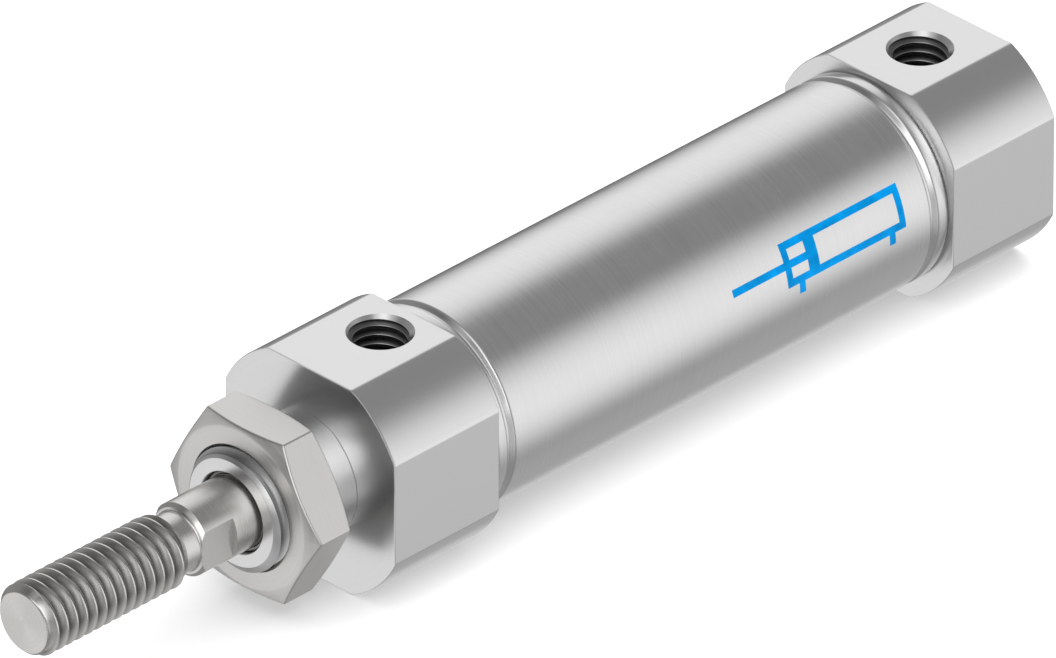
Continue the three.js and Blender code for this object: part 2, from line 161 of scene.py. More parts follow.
def fix_normals(mesh):
    shape = bmesh.new()
    shape.from_mesh(mesh)
    bmesh.ops.remove_doubles(shape, verts=shape.verts, dist=SAME_POINT)
    bmesh.ops.recalc_face_normals(shape, faces=shape.faces)
    shape.to_mesh(mesh)
    shape.free()


def soften(points, steps=4):
    """An outline of (x, r) or (x, r, fillet radius) points, with the filleted corners as short arcs."""
    outline = []
    count = len(points)
    for i, point in enumerate(points):
        corner = Vector(point[:2])
        if len(point) < 3:
            outline.append(tuple(corner))
            continue
        back = (Vector(points[i - 1][:2]) - corner).normalized()
        ahead = (Vector(points[(i + 1) % count][:2]) - corner).normalized()
        half = back.angle(ahead) / 2
        centre = corner + (back + ahead).normalized() * (point[2] / math.sin(half))
        start = corner + back * (point[2] / math.tan(half)) - centre
        end = corner + ahead * (point[2] / math.tan(half)) - centre
        for step in range(steps + 1):
            mixed = start.lerp(end, step / steps).normalized() * point[2]
            outline.append(tuple(centre + mixed))
    return outline


def turned(name, points, sides=192):
    """A solid turned about the axis: points go round its half section, as soften() takes them."""
    outline = soften(points)
    angles = [TURN * i / sides for i in range(sides)]
    vertices = []
    rings = []
    for x, r in outline:
        if r < ON_AXIS:
            rings.append([len(vertices)] * sides)
            vertices.append((x, 0.0, 0.0))
            continue
        rings.append(range(len(vertices), len(vertices) + sides))
        vertices.extend((x, r * math.cos(angle), r * math.sin(angle)) for angle in angles)
    faces = []
    for near, far in zip(rings, rings[1:] + rings[:1]):
        for i in range(sides):
            j = (i + 1) % sides
            face = list(dict.fromkeys((near[i], near[j], far[j], far[i])))
            if len(face) > 2:
                faces.append(face)
    return make_object(name, vertices, faces)


def swept(name, section_at, angles):
    """A ring-shaped solid whose half section, as soften() takes it, changes with the angle about the axis."""
    vertices = []
    for angle in angles:
        section = soften(section_at(angle))
        vertices.extend((x, r * math.cos(angle), r * math.sin(angle)) for x, r in section)
    count = len(section)
    faces = []
    for column in range(len(angles)):
        after = (column + 1) % len(angles)
        for row in range(count):
            below = (row + 1) % count
            corners = ((column, row), (after, row), (after, below), (column, below))
            faces.append(tuple(c * count + k for c, k in corners))
    return make_object(name, vertices, faces)


def bar(name, start, end, r, sides=96):
    return turned(name, [(start, 0), (end, 0), (end, r), (start, r)], sides)


def thread_tooth(crest_r, depth, pitch):
    """(share of a pitch, radius) round one turn: a 60 degree thread with a flat crest and an eased root."""
    crest_half = 0.06  # these three are shares of a pitch
    foot_ease = 0.05
    crest_ease = 0.03
    foot_lift = 0.06  # share of the depth
    fall = pitch * math.tan(math.radians(60))  # of a flank, for a whole pitch
    crest_from = 0.5 - crest_half
    foot = crest_from - depth / fall
    sunk = [
        (0.0, depth),
        (foot, depth * (1 - foot_lift)),
        (foot + foot_ease, depth - foot_ease * fall),
        (crest_from - crest_ease, crest_ease * fall),
        (crest_from, 0.0),
    ]
    tooth = [(share, crest_r - below) for share, below in sunk]
    return tooth + [(1 - share, r) for share, r in reversed(tooth[1:])]


def thread_bar(name, start, end, crest_r, depth, pitch, sides=96):
    """A right-hand threaded bar, over a turn too long at both ends: a lathe sheared one pitch a turn.

    One of its crests is at the start on the +Y side.
    """
    tooth = thread_tooth(crest_r, depth, pitch)
    spare_turns = 3
    turns = math.ceil((end - start) / pitch) + spare_turns
    rows = turns * len(tooth)
    first = start - spare_turns / 2 * pitch
    vertices = [(first, 0.0, 0.0), (first + pitch * (turns + 1), 0.0, 0.0)]
    for column in range(sides):
        angle = TURN * column / sides
        for row in range(rows):
            share, r = tooth[row % len(tooth)]
            x = first + pitch * (row // len(tooth) + share + column / sides)
            vertices.append((x, r * math.cos(angle), r * math.sin(angle)))

    def index(column, row):
        return 2 + (column * rows + row if column < sides else row + len(tooth))

    faces = []
    for column in range(sides):
        last = rows - 1 if column + 1 < sides else rows - 1 - len(tooth)
        for row in range(last):
            corners = ((column, row), (column + 1, row), (column + 1, row + 1), (column, row + 1))
            faces.append(tuple(index(*corner) for corner in corners))
        faces.append((0, index(column + 1, 0), index(column, 0)))
        faces.append((1, index(column, last), index(column + 1, last)))
    for row in range(len(tooth)):
        faces.append((0, index(0, row), index(0, row + 1)))
        faces.append((1, index(sides - 1, rows - 1 - row), index(sides - 1, rows - 2 - row)))
    return make_object(name, vertices, faces)


def prism(name, start, end, section):
    """A prism along the axis whose section is a list of (y, z) points."""
    count = len(section)
    vertices = [(x, y, z) for x in (start, end) for y, z in section]
    faces = [tuple(range(count)), tuple(range(count, 2 * count))]
    faces += [(i, (i + 1) % count, count + (i + 1) % count, count + i) for i in range(count)]
    return make_object(name, vertices, faces)


def finish_modifiers(obj):
    depsgraph = bpy.context.evaluated_depsgraph_get()
    mesh = bpy.data.meshes.new_from_object(obj.evaluated_get(depsgraph))
    obj.modifiers.clear()
    old = obj.data
    obj.data = mesh
    mesh.name = obj.name
    bpy.data.meshes.remove(old)


def combine(base, other, operation):
    """base with other added (UNION), cut away (DIFFERENCE) or kept (INTERSECT)."""
    boolean = base.modifiers.new("combine", "BOOLEAN")
    boolean.operation = operation
    boolean.object = other
    boolean.solver = "MANIFOLD"
    finish_modifiers(base)
    bpy.data.objects.remove(other)
    return base


def bevel(obj, width, segments=2, angle=25):
    modifier = obj.modifiers.new("bevel", "BEVEL")
    modifier.width = width
    modifier.segments = segments
    modifier.limit_method = "ANGLE"
    modifier.angle_limit = math.radians(angle)
    modifier.use_clamp_overlap = True
    finish_modifiers(obj)
    return obj


def turn_upright(obj, station, height):
    """Stands a piece that was drawn along the axis from station 0 on end, at a station and height."""
    obj.data.transform(Matrix.Translation((station, 0, height)) @ Matrix.Rotation(-math.pi / 2, 4, "Y"))
    return obj


def finished(obj, body, material, nodes=()):
    """Places a built piece in the frame, shades it, hangs it on the body it rides on and hides the CAD nodes
    it stands for.
    """
    place(obj.data)
    obj.data.shade_smooth()
    obj.data.set_sharp_from_angle(angle=math.radians(CREASE))
    weighted = obj.modifiers.new("weighted", "WEIGHTED_NORMAL")
    weighted.keep_sharp = True
    finish_modifiers(obj)
    obj.data.materials.clear()
    obj.data.materials.append(material)
    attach(obj, body)
    if nodes:
        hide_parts(*nodes)
    return obj


# ---- Materials

class Nodes:
    """A short way to build one material's nodes."""

    def __init__(self, material):
        self.material = material
        self.material.use_nodes = True
        self.tree = self.material.node_tree
        self.shader = next(n for n in self.tree.nodes if n.type == "BSDF_PRINCIPLED")

    @classmethod
    def named(cls, name):
        return cls(bpy.data.materials.new(name))

    def add(self, kind, **settings):
        node = self.tree.nodes.new(kind)
        for key, value in settings.items():
            setattr(node, key, value)
        return node

    def link(self, source, target):
        self.tree.links.new(source, target)

    def value(self, socket, value):
        if isinstance(value, (int, float)):
            socket.default_value = value
        else:
            self.link(value, socket)

    def math(self, operation, first, second=0.0, third=None):
        node = self.add("ShaderNodeMath", operation=operation)
        self.value(node.inputs[0], first)
        self.value(node.inputs[1], second)
        if third is not None:
            self.value(node.inputs[2], third)
        return node.outputs[0]

    def ranged(self, source, low, high, to_low, to_high):
        node = self.add("ShaderNodeMapRange")
        self.link(source, node.inputs["Value"])
        for name, number in (("From Min", low), ("From Max", high), ("To Min", to_low), ("To Max", to_high)):
            node.inputs[name].default_value = number
        return node.outputs["Result"]

    def axis_coordinates(self):
        """(x, y, z) from the axis, in millimetres."""
        coordinates = self.add("ShaderNodeTexCoord")
        mapping = self.add("ShaderNodeMapping")
        mapping.inputs["Location"].default_value = (0, 0, -AXIS_HEIGHT / MM)
        mapping.inputs["Scale"].default_value = (1 / MM, 1 / MM, 1 / MM)
        self.link(coordinates.outputs["Object"], mapping.inputs["Vector"])
        return mapping.outputs["Vector"]

    def stretched(self, vector, scale):
        mapping = self.add("ShaderNodeMapping")
        mapping.inputs["Scale"].default_value = scale
        self.link(vector, mapping.inputs["Vector"])
        return mapping.outputs["Vector"]

    def noise(self, vector, scale=1.0, detail=2.0, roughness=0.5):
        node = self.add("ShaderNodeTexNoise")
        self.link(vector, node.inputs["Vector"])
        node.inputs["Scale"].default_value = scale
        node.inputs["Detail"].default_value = detail
        node.inputs["Roughness"].default_value = roughness
        return node.outputs["Fac"]

    def separated(self, vector):
        """The X, Y and Z outputs of a vector."""
        parts = self.add("ShaderNodeSeparateXYZ")
        self.link(vector, parts.inputs[0])
        return parts.outputs

    def from_axis(self, parts):
        """Distance from the axis, of separated coordinates."""
        y_squared = self.math("POWER", parts["Y"], 2)
        z_squared = self.math("POWER", parts["Z"], 2)
        return self.math("SQRT", self.math("ADD", y_squared, z_squared))

    def rings(self, vector):
        """Coordinates whose first part is the distance from the axis, for marks left by facing on a lathe."""
        unevenness = 0.05  # share of y and z in the other two parts, so that a ring changes on its way round
        parts = self.separated(vector)
        joined = self.add("ShaderNodeCombineXYZ")
        self.link(self.from_axis(parts), joined.inputs["X"])
        for side in ("Y", "Z"):
            self.link(self.math("MULTIPLY", parts[side], unevenness), joined.inputs[side])
        return joined.outputs[0]

    def choose(self, share, first, second):
        node = self.add("ShaderNodeMix", data_type="FLOAT")
        self.link(share, node.inputs[0])
        self.value(node.inputs[2], first)
        self.value(node.inputs[3], second)
        return node.outputs[0]

    def normal_along_axis(self):
        """The surface normal's part along the axis."""
        return self.separated(self.add("ShaderNodeTexCoord").outputs["Normal"])["X"]

    def facing_axis(self, threshold=0.9):
        """1 on faces that look along the axis, 0 on the others."""
        return self.math("GREATER_THAN", self.math("ABSOLUTE", self.normal_along_axis()), threshold)

    def facing_rear(self, threshold=0.75):
        """1 on faces that look towards the rear, 0 on the others."""
        return self.math("LESS_THAN", self.normal_along_axis(), -threshold)

    def tint(self, share, dark, light):
        node = self.add("ShaderNodeMix", data_type="RGBA")
        self.link(share, node.inputs[0])
        node.inputs[6].default_value = (*dark, 1)
        node.inputs[7].default_value = (*light, 1)
        self.link(node.outputs[2], self.shader.inputs["Base Color"])

    def darken(self, where, share):
        """Multiplies the colour by share where a mask is 1."""
        color = self.shader.inputs["Base Color"]
        node = self.add("ShaderNodeMix", data_type="RGBA", blend_type="MULTIPLY")
        node.inputs[7].default_value = (share, share, share, 1)
        self.link(where, node.inputs[0])
        self.link(color.links[0].from_socket, node.inputs[6])
        self.link(node.outputs[2], color)

    def bump(self, height, distance, strength=1.0):
        node = self.add("ShaderNodeBump")
        node.inputs["Strength"].default_value = strength
        node.inputs["Distance"].default_value = distance
        self.link(height, node.inputs["Height"])
        self.link(node.outputs["Normal"], self.shader.inputs["Normal"])


NOISE_SPREAD = (0.3, 0.7)  # most of a noise lies between these
SHADE_SPREAD = (0.25, 0.75)  # of strokes and patches together, from a metal's darkest to its lightest


def grey(level, warmth):
    """A grey, towards yellow by warmth."""
    blue_loss = 1.3
    return (level * (1 + warmth), level, level * (1 - warmth * blue_loss))


def worked_metal(name, level, roughness, lines, warmth=0.0, cloud=0.03, anisotropic=0.0, relief=0.0006,
                 contrast=0.06, faced_roughness=0.0):
    """Metal with turned lines: lines gives the strokes per millimetre along, across and up the piece.

    Faces that look along the axis get rings instead, and are rougher by faced_roughness. cloud says how much
    the roughness varies and contrast how much the colour does. relief is the strokes' depth in millimetres.
    """
    stroke_share = 0.7
    patch_share = 0.3
    patch_scale = 0.35
    strokes = {"detail": 3.0, "roughness": 0.6}
    ring_lines = (lines[0] / 2, lines[0] / 8, lines[0] / 8)
    m = Nodes.named(name)
    at = m.axis_coordinates()
    around = m.noise(m.stretched(at, lines), **strokes)
    across = m.noise(m.stretched(m.rings(at), ring_lines), **strokes)
    faced = m.facing_axis()
    stroke = m.choose(faced, around, m.ranged(across, *NOISE_SPREAD, 0.0, 1.0))
    patches = m.noise(at, scale=patch_scale)
    shade = m.math("ADD", m.math("MULTIPLY", stroke, stroke_share), m.math("MULTIPLY", patches, patch_share))
    darkest = grey(level * (1 - contrast), warmth)
    lightest = grey(level * (1 + contrast), warmth)
    m.tint(m.ranged(shade, *SHADE_SPREAD, 0.0, 1.0), darkest, lightest)
    worked = m.ranged(shade, *NOISE_SPREAD, roughness - cloud, roughness + cloud)
    m.link(m.math("ADD", worked, m.math("MULTIPLY", faced, faced_roughness)), m.shader.inputs["Roughness"])
    m.shader.inputs["Metallic"].default_value = 1.0
    if anisotropic:
        m.shader.inputs["Anisotropic"].default_value = anisotropic
        m.shader.inputs["Anisotropic Rotation"].default_value = 0.25
        tangent = m.add("ShaderNodeTangent", direction_type="RADIAL", axis="X")
        m.link(tangent.outputs[0], m.shader.inputs["Tangent"])
    if relief:
        m.bump(stroke, relief * MM)
    return m.material


def paint_valley_shade(material, span, crest_r, share=0.3):
    """Paints shade into a thread's valleys between two stations, down to share of the colour at the root.

    This is tuned to the photo, whose valleys are darker than their shape alone makes them here.
    """
    crest_band = 0.08  # that keeps the full colour, below the crest
    m = Nodes(material)
    parts = m.separated(m.axis_coordinates())
    depth = m.ranged(m.from_axis(parts), crest_r - THREAD_DEPTH, crest_r - crest_band, 1.0, 0.0)
    rear, front = (station + SHOULDER / MM for station in span)
    past_rear = m.math("GREATER_THAN", parts["X"], rear)
    before_front = m.math("LESS_THAN", parts["X"], front)
    inside = m.math("MULTIPLY", past_rear, before_front)
    m.darken(m.math("MULTIPLY", depth, inside), share)


def paint_rear_shade(material, share):
    """Paints shade on a metal's faces that look towards the rear: multiplies their colour by share there.

    This too is tuned to the photo: the front cap's face reflects the back of the nut, and is darker there.
    """
    m = Nodes(material)
    m.darken(m.facing_rear(), share)


def soft_material(name, color, roughness, grain, relief):
    """Rubber or plastic with a fine grain: grain is its scale per millimetre, relief its depth in mm."""
    darker, lighter = 0.8, 1.25  # shares of the colour
    cloud = 0.06
    m = Nodes.named(name)
    at = m.axis_coordinates()
    fine = m.noise(at, scale=grain, detail=3.0)
    wide = m.noise(at, scale=0.6)
    dark = tuple(c * darker for c in color)
    light = tuple(min(1.0, c * lighter) for c in color)
    m.tint(m.ranged(wide, *NOISE_SPREAD, 0.0, 1.0), dark, light)
    m.link(m.ranged(fine, *NOISE_SPREAD, roughness - cloud, roughness + cloud), m.shader.inputs["Roughness"])
    m.bump(fine, relief * MM)
    return m.material


barrel_metal = worked_metal("barrel_brushed_stainless", 0.76, 0.25, (9.0, 0.08, 0.08),
                            anisotropic=0.6, relief=0.0002)
cap_metal = worked_metal("cap_anodised_aluminium", 0.77, 0.26, (5.0, 0.3, 0.3),
                         cloud=0.004, anisotropic=0.3, relief=0.0, contrast=0.012)
# painted shade: the caps' own metal made dark, for the inside of the ports
port_shade_metal = worked_metal("port_thread_painted_shade", 0.20, 0.4, (5.0, 0.3, 0.3),
                          cloud=0.02, relief=0.0002, contrast=0.1)
nut_metal = worked_metal("nut_steel", 0.70, 0.34, (6.0, 0.3, 0.3),
                         warmth=0.015, cloud=0.04, anisotropic=0.6, relief=0.0003, faced_roughness=0.02)
rod_metal = worked_metal("rod_steel", 0.70, 0.25, (8.0, 0.3, 0.3), warmth=0.02, cloud=0.04,
                         anisotropic=0.75, relief=0.0003, contrast=0.07, faced_roughness=0.06)
# painted shade: the nut's rear faces are darkened in the colour
paint_rear_shade(nut_metal, 0.4)
# painted shade: the rod's and the collar's thread valleys are darkened in the colour
rod_valleys = (THREAD_START + 0.4, ROD_TIP - 0.6)  # stations clear of the chamfers at the ends
collar_valleys = (NUT_FRONT - 1.0, COLLAR_END - 0.45)
paint_valley_shade(rod_metal, rod_valleys, ROD_R)
paint_valley_shade(cap_metal, collar_valleys, COLLAR_R)
piston_metal = worked_metal("piston_aluminium", 0.7, 0.35, (4.0, 0.3, 0.3), relief=0.0005)
bush_metal = worked_metal("bush_bronze", 0.36, 0.5, (3.0, 2.0, 2.0),
                          warmth=0.35, relief=0.001, contrast=0.12)
seal_rubber = soft_material("seal_rubber", (0.018, 0.018, 0.02), 0.5, 9.0, 0.004)
wiper_rubber = soft_material("wiper_rubber", (0.30, 0.30, 0.29), 0.45, 9.0, 0.003)
bumper_rubber = soft_material("bumper_rubber", (0.03, 0.03, 0.03), 0.62, 6.0, 0.006)
magnet_ferrite = soft_material("magnet_ferrite", (0.06, 0.055, 0.05), 0.55, 12.0, 0.003)
guide_plastic = soft_material("guide_plastic", (0.62, 0.55, 0.4), 0.42, 5.0, 0.002)
mark_ink = soft_material("mark_ink", (0.0, 0.24, 0.60), 0.5, 10.0, 0.0005)
mark_ink.node_tree.nodes["Principled BSDF"].inputs["Specular IOR Level"].default_value = 0.03


# ---- Pieces of the body

def crimp(face, direction, r):
    """The rolled-in groove near a cap's face, as outline points for soften(), from the face inwards."""
    lip, lip_fillet = CRIMP_LIP
    floor_half, floor_fillet = CRIMP_FLOOR
    return [
        (face + direction * (CRIMP_MIDDLE - lip), r, lip_fillet),
        (face + direction * (CRIMP_MIDDLE - floor_half), r - CRIMP_DEPTH, floor_fillet),
        (face + direction * (CRIMP_MIDDLE + floor_half), r - CRIMP_DEPTH, floor_fillet),
        (face + direction * (CRIMP_MIDDLE + lip), r, lip_fillet),
    ]


def barrel():
    outside = [(BARREL_FRONT, BARREL_R, BARREL_EDGE), *crimp(BARREL_FRONT, -1, BARREL_R)]
    outside += [*reversed(crimp(BARREL_REAR, 1, BARREL_R)), (BARREL_REAR, BARREL_R, BARREL_EDGE)]
    inside = [(BARREL_REAR, BORE_R), *crimp(BARREL_REAR, 1, BORE_R)]
    inside += [*reversed(crimp(BARREL_FRONT, -1, BORE_R)), (BARREL_FRONT, BORE_R)]
    piece = turned("barrel_tube", outside + inside, sides=256)
    return finished(piece, "barrel", barrel_metal, ["cylinder_barrel"])


def cap_section(steps=20):
    """The caps' section: a square with its corners turned to a circle."""
    half = math.acos(CAP_FLAT / CAP_R)
    section = []
    for corner in range(4):
        start = corner * math.pi / 2 + half
        sweep = math.pi / 2 - 2 * half
        section += [start + sweep * step / steps for step in range(steps + 1)]
    return [(CAP_R * math.cos(angle), CAP_R * math.sin(angle)) for angle in section]


def cut_port(cap, station):
    """Drills, countersinks and taps a port down from the cap's top flat."""
    hole = turned("hole", [
        (-PORT_DEPTH, 0),
        (PAST, 0),
        (PAST, PORT_MOUTH_R + PAST),
        (PORT_R - PORT_MOUTH_R, PORT_R),
        (-PORT_DEPTH, PORT_R),
    ], sides=96)
    combine(cap, turn_upright(hole, station, CAP_FLAT), "DIFFERENCE")
    untapped = 0.3  # pitches, at the hole's floor
    into_hole = 0.05  # of the tap's root, past the wall
    start = -PORT_DEPTH + PORT_PITCH * untapped
    depth = PORT_THREAD_R - PORT_R + into_hole
    tap = thread_bar("tap", start, PAST, PORT_THREAD_R, depth, PORT_PITCH, sides=72)
    combine(tap, bar("reach", start, PAST, PORT_THREAD_R + PAST, sides=72), "INTERSECT")
    combine(cap, turn_upright(tap, station, CAP_FLAT), "DIFFERENCE")


def paint_port_shade(cap, station):
    """Paints shade into a port: its inside, all but the cone of its countersink, gets the dark metal."""
    cap.data.materials.append(port_shade_metal)
    below_flat = 0.01
    below_floor = 0.1
    cone_spread = 0.06  # of the normal's z
    middle = SHOULDER + station * MM
    top = AXIS_HEIGHT + (CAP_FLAT - below_flat) * MM
    floor_height = AXIS_HEIGHT + (CAP_FLAT - PORT_DEPTH - below_floor) * MM
    for polygon in cap.data.polygons:
        x, y, z = polygon.center
        inside = math.hypot(x - middle, y) < PORT_MOUTH_R * MM and floor_height < z < top
        on_cone = abs(polygon.normal.z - math.sqrt(0.5)) < cone_spread
        if inside and not on_cone:
            polygon.material_index = 1


def spigot(face, end, inner_r):
    """The part of a cap that goes into the barrel, with a groove for the crimp and one for the O-ring."""
    direction = 1 if end > face else -1
    r = BORE_R - SPIGOT_GAP
    points = [(face - direction * PAST, inner_r), (face - direction * PAST, r)]
    points += [(face + direction * distance, r - depth) for distance, depth in CRIMP_GROOVE + O_RING_GROOVE]
    points += [(end - direction * SPIGOT_CHAMFER, r), (end, r - SPIGOT_CHAMFER), (end, inner_r)]
    return turned("spigot", points, sides=128)


def front_cap():
    cap = bevel(prism("front_cap", BARREL_FRONT, 0, cap_section()), EDGE)
    combine(cap, spigot(BARREL_FRONT, FRONT_SPIGOT_END, SEAT_R), "UNION")
    fillet_middle = NECK_FILLET * 0.3  # so that two straight steps follow the hollow
    neck = turned("neck", [
        (-PAST, 0),
        (NUT_REAR, 0),
        (NUT_REAR, COLLAR_R),
        (NECK_FILLET, COLLAR_R),
        (fillet_middle, COLLAR_R + fillet_middle),
        (0, COLLAR_R + NECK_FILLET),
        (-PAST, COLLAR_R + NECK_FILLET),
    ], sides=128)
    combine(cap, neck, "UNION")
    first_crest = NUT_REAR - 0.2
    thread_rear = NUT_REAR - 0.3
    thread = thread_bar("thread", first_crest, COLLAR_END, COLLAR_R, THREAD_DEPTH, THREAD_PITCH, sides=128)
    chamfer, chamfer_depth = COLLAR_CHAMFER
    envelope = turned("envelope", [
        (thread_rear, 0),
        (COLLAR_END, 0),
        (COLLAR_END, COLLAR_R - chamfer_depth, CHAMFER_ROUND),
        (COLLAR_END - chamfer, COLLAR_R + CREST_SPACE),
        (thread_rear, COLLAR_R + CREST_SPACE),
    ], sides=128)
    combine(cap, combine(thread, envelope, "INTERSECT"), "UNION")
    combine(cap, bar("seat", FRONT_SPIGOT_END - PAST, COLLAR_END - SEAT_WALL, SEAT_R), "DIFFERENCE")
    mouth = turned("mouth", [
        (COLLAR_END - MOUTH_DEPTH, 0),
        (COLLAR_END + PAST, 0),
        (COLLAR_END + PAST, MOUTH_R + PAST + MOUTH_CHAMFER),
        (COLLAR_END - MOUTH_CHAMFER, MOUTH_R),
        (COLLAR_END - MOUTH_DEPTH, MOUTH_R),
    ], sides=96)
    combine(cap, mouth, "DIFFERENCE")
    cut_port(cap, FRONT_PORT)
    finished(cap, "barrel", cap_metal, ["front_bearing_cap"])
    paint_port_shade(cap, FRONT_PORT)


def rear_cap():
    cap = bevel(prism("rear_cap", REAR_FACE, BARREL_REAR, cap_section()), EDGE)
    combine(cap, spigot(BARREL_REAR, REAR_SPIGOT_END, AIR_WAY_R), "UNION")
    cut_port(cap, REAR_PORT)
    finished(cap, "barrel", cap_metal, ["rear_end_cap"])
    paint_port_shade(cap, REAR_PORT)


def hexagon_radius(angle, flat, round_r):
    """Distance to a hexagon's outline, its corners rounded, at an angle from one of its corners."""
    step = math.pi / 3
    offset = abs((angle + step / 2) % step - step / 2)
    centre = (flat - round_r) / math.cos(step / 2)
    round_to = math.atan2(round_r * math.sin(step / 2), centre + round_r * math.cos(step / 2))
    if offset < round_to:
        return centre * math.cos(offset) + math.sqrt(round_r ** 2 - (centre * math.sin(offset)) ** 2)
    return flat / math.cos(step / 2 - offset)


def nut_angles(flat, round_r):
    """Angles round the nut: close together over its corners, wider apart on its flats."""
    step = math.pi / 3
    corner_steps = 4  # on each side of a corner
    flat_steps = 16
    corner_reach = round_r * math.sin(step / 2)  # of the rounding, at right angles to the corner's radius
    corner_angle = corner_reach / (flat / math.cos(step / 2) - corner_reach * math.sin(step / 2))
    offsets = [corner_angle * k / corner_steps for k in range(-corner_steps, corner_steps + 1)]
    offsets += [corner_angle + (step - 2 * corner_angle) * k / flat_steps for k in range(1, flat_steps)]
    return [corner * step + offset for corner in range(6) for offset in offsets]


def mounting_nut():
    face_r = NUT_FLAT - 0.35  # where the chamfer begins on both faces
    slope = 0.36  # of the chamfer that takes the corners off, along the axis for each millimetre outwards
    round_r = 0.2
    bore_r = COLLAR_R + 0.06  # clear of the collar's crests
    bore_edge = 0.15
    face_fillet = 0.8
    edge_fillet = 0.2

    def section_at(angle):
        outer = hexagon_radius(angle, NUT_FLAT, round_r)
        back = (outer - face_r) * slope
        return [
            (NUT_REAR, bore_r + bore_edge),
            (NUT_REAR + bore_edge, bore_r),
            (NUT_FRONT - bore_edge, bore_r),
            (NUT_FRONT, bore_r + bore_edge),
            (NUT_FRONT, face_r, face_fillet),
            (NUT_FRONT - back, outer, edge_fillet),
            (NUT_REAR + back, outer, edge_fillet),
            (NUT_REAR, face_r, face_fillet),
        ]

    nut = swept("nut", section_at, nut_angles(NUT_FLAT, round_r))
    return finished(nut, "nut", nut_metal, ["mounting_nut"])


def rod_shank():
    """The plain rod from its rear end to a short way into the neck, with the two wrench flats."""
    piston_step = stations("piston_front_half")[1] + 0.05  # just clear of the piston
    step_r = 2.0
    end_chamfer = 0.4
    shoulder_chamfer = 0.3
    edge_round = 0.04
    root_fillet = 0.16
    neck_end = ROD_SHOULDER + 0.9
    shank = turned("rod", [
        (ROD_END, 0),
        (neck_end, 0),
        (neck_end, ROD_NECK_R),
        (ROD_SHOULDER, ROD_NECK_R, root_fillet),
        (ROD_SHOULDER, ROD_R - shoulder_chamfer, edge_round),
        (ROD_SHOULDER - shoulder_chamfer, ROD_R, edge_round),
        (piston_step, ROD_R),
        (piston_step, step_r),
        (ROD_END + end_chamfer, step_r),
        (ROD_END, step_r - end_chamfer),
    ], sides=128)
    far = ROD_R + PAST
    for sign in (-1, 1):
        low, high = sorted((sign * WRENCH_HALF, sign * far))
        section = [(low, -far), (high, -far), (high, far), (low, far)]
        combine(shank, prism("flat", WRENCH_FROM, ROD_SHOULDER + ROD_OVERLAP, section), "DIFFERENCE")
    return shank


def rod_thread():
    """The rod's thread, with its end chamfers."""
    thread = thread_bar("thread", THREAD_START, ROD_TIP, ROD_R, THREAD_DEPTH, THREAD_PITCH, sides=96)
    runout, runout_depth = RUNOUT_CHAMFER
    chamfer, chamfer_depth = TIP_CHAMFER
    envelope = turned("envelope", [
        (THREAD_START, 0),
        (ROD_TIP, 0),
        (ROD_TIP, ROD_R - chamfer_depth, CHAMFER_ROUND),
        (ROD_TIP - chamfer, ROD_R + CREST_SPACE),
        (THREAD_START + runout, ROD_R + CREST_SPACE),
        (THREAD_START, ROD_R - runout_depth, CHAMFER_ROUND),
    ], sides=96)
    return combine(thread, envelope, "INTERSECT")


def rod():
    """Shank with wrench flats, neck and thread, and the stepped rear end."""
    piece = rod_shank()
    neck = bar("neck", ROD_SHOULDER + ROD_OVERLAP, THREAD_START + PAST, ROD_NECK_R, sides=128)
    combine(piece, neck, "UNION")
    combine(piece, rod_thread(), "UNION")
    return finished(piece, "rod", rod_metal, ["piston_rod"])


def wiper():
    rear = stations("rod_wiper")[0]
    stop = COLLAR_END - 0.8  # the ring's shoulder, just behind the collar's front wall
    lip_end = stop + 0.3
    lip_edge = 0.05
    outer_r = SEAT_R - 0.05
    piece = turned("wiper_ring", [
        (rear, ROD_R + 0.2),
        (rear, outer_r),
        (stop, outer_r),
        (stop, MOUTH_R),
        (lip_end, ROD_R + 0.22, lip_edge),
        (lip_end, ROD_R + 0.06),
    ], sides=96)
    return finished(piece, "barrel", wiper_rubber, ["rod_wiper"])


# ---- The printed mark: a plain schematic sign of a cylinder, its piston and rod, wrapped on the barrel

def stroke_patch(name, x_from, x_to, angle_from, angle_to):
    """A thin plate of ink that follows the barrel between two stations and two angles from +Y, in degrees."""
    low = BARREL_R - 0.02
    high = BARREL_R + 0.012
    step_angle = 1.5
    steps = max(2, round(abs(angle_to - angle_from) / step_angle))
    section = []
    for r, order in ((low, range(steps + 1)), (high, range(steps, -1, -1))):
        for step in order:
            angle = math.radians(angle_from + (angle_to - angle_from) * step / steps)
            section.append((r * math.cos(angle), r * math.sin(angle)))
    return prism(name, x_from, x_to, section)


def mark():
    """The sign's body with its piston near the rod's end, the rod, and two short lines for the ports."""
    rear, front = -55.4, -42.6
    tip = -37.0
    line = 0.62
    middle, half = 20.0, 12.0  # degrees round the barrel
    line_angle = math.degrees(line / BARREL_R)
    low = middle - half
    high = middle + half
    piston = front - 2.4
    piston_width = 1.8 * line
    port_inset = 1.2
    port_low, port_high = low - 6, low + 1
    strokes = [
        (rear, front, high - line_angle, high),
        (rear, front, low, low + line_angle),
        (rear, rear + line, low, high),
        (front - line, front, low, high),
        (piston - piston_width, piston, low, high),
        (piston - line / 2, tip, middle - line_angle / 2, middle + line_angle / 2),
    ]
    ports = (rear + port_inset, front - port_inset - line)
    strokes += [(port, port + line, port_low, port_high) for port in ports]
    sign = stroke_patch("barrel_mark", *strokes[0])
    for stroke in strokes[1:]:
        combine(sign, stroke_patch("stroke", *stroke), "UNION")
    return finished(sign, "barrel", mark_ink)


# ---- CAD pieces that stay, hidden inside: each gets its own material

